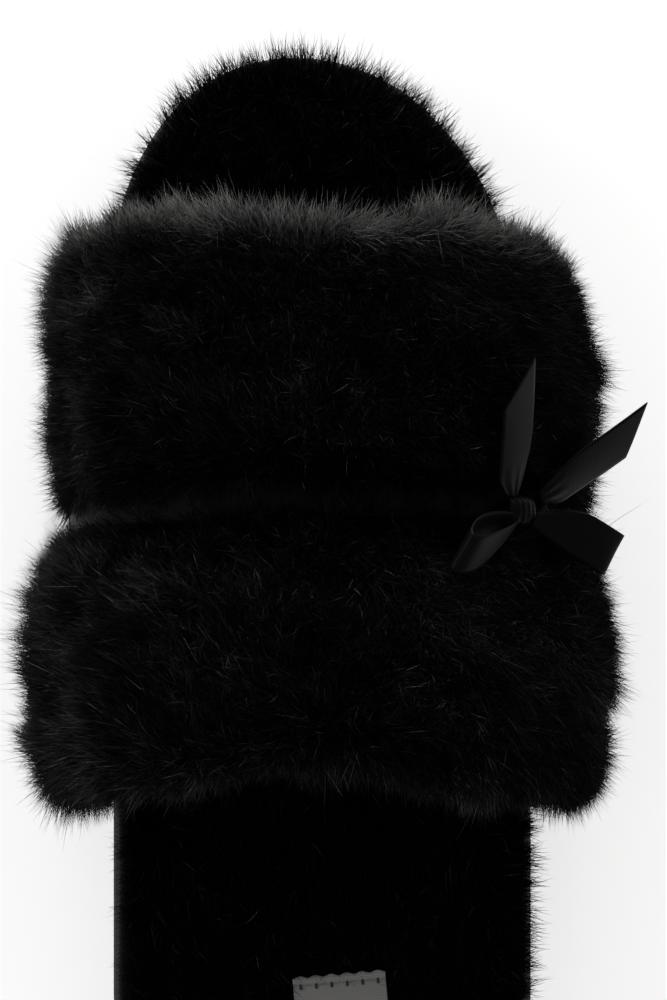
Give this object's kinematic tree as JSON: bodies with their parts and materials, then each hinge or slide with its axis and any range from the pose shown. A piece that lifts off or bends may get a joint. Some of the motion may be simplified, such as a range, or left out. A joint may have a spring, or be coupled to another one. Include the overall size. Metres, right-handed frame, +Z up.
{
  "type": "fluffy slide slipper",
  "caption": "Open-toe, open-back house slipper: a flat wrapped sole with a furry footbed under a padded fur band cinched by a ribbon with a side bow.",
  "frame": {"origin": "on the flat underside of the outsole, midway between heel and toe", "axes": "+Z up, +Y to the toe, +X to the outer side of the right foot, where the bow is"},
  "size_m": [0.1367, 0.2625, 0.0857],
  "materials": {
    "outsole_rubber": "matt moulded rubber",
    "midsole_foam": "closed-cell foam",
    "insole_board": "fibre board",
    "soft_foam": "open-cell foam",
    "footbed_fur": "short faux-fur pile",
    "upper_fur": "faux-fur pile",
    "tape": "ribbed woven tape",
    "label": "woven damask",
    "thread": "spun thread",
    "lining": "brushed knit",
    "wadding": "polyester wadding",
    "ribbon": "satin"
  },
  "bodies": {
    "slipper": {"outsole": "outsole_rubber", "midsole": "midsole_foam", "insole_board": "insole_board", "footbed_foam": "soft_foam", "footbed_fur": "footbed_fur", "sole_tape": "tape", "heel_label": "label", "heel_label_stitches": "thread", "upper_lining": "lining", "upper_pad_front": "wadding", "upper_pad_rear": "wadding", "upper_fur_front": "upper_fur", "upper_fur_rear": "upper_fur", "crease_seam_stitches": "thread", "ribbon_band": "ribbon", "bow_knot": "ribbon"},
    "loop_left": {"bow_loop_left": "ribbon"},
    "loop_right": {"bow_loop_right": "ribbon"},
    "tail_front": {"bow_tail_front": "ribbon"},
    "tail_side": {"bow_tail_side": "ribbon"}
  },
  "joints": [
    {"name": "tail_front_bend", "type": "hinge", "parent": "slipper", "child": "tail_front", "pos_m": [0.04329, 0.0296, 0.06238], "axis": [0.8496, 0, -0.5274], "range_deg": [-2, 50], "stiffness_Nm_per_rad": 0.002},
    {"name": "tail_side_bend", "type": "hinge", "parent": "slipper", "child": "tail_side", "pos_m": [0.04788, 0.0292, 0.05953], "axis": [0.554, -0.7581, -0.3439], "range_deg": [-2, 45], "stiffness_Nm_per_rad": 0.002},
    {"name": "loop_left_bend", "type": "hinge", "parent": "slipper", "child": "loop_left", "pos_m": [0.04287, 0.0234, 0.06664], "axis": [-0.2813, 0.9436, 0.1746], "range_deg": [-2, 25], "stiffness_Nm_per_rad": 0.002},
    {"name": "loop_right_bend", "type": "hinge", "parent": "slipper", "child": "loop_right", "pos_m": [0.04889, 0.0232, 0.06173], "axis": [-0.2927, -0.9388, 0.1817], "range_deg": [-2, 35], "stiffness_Nm_per_rad": 0.002}
  ]
}
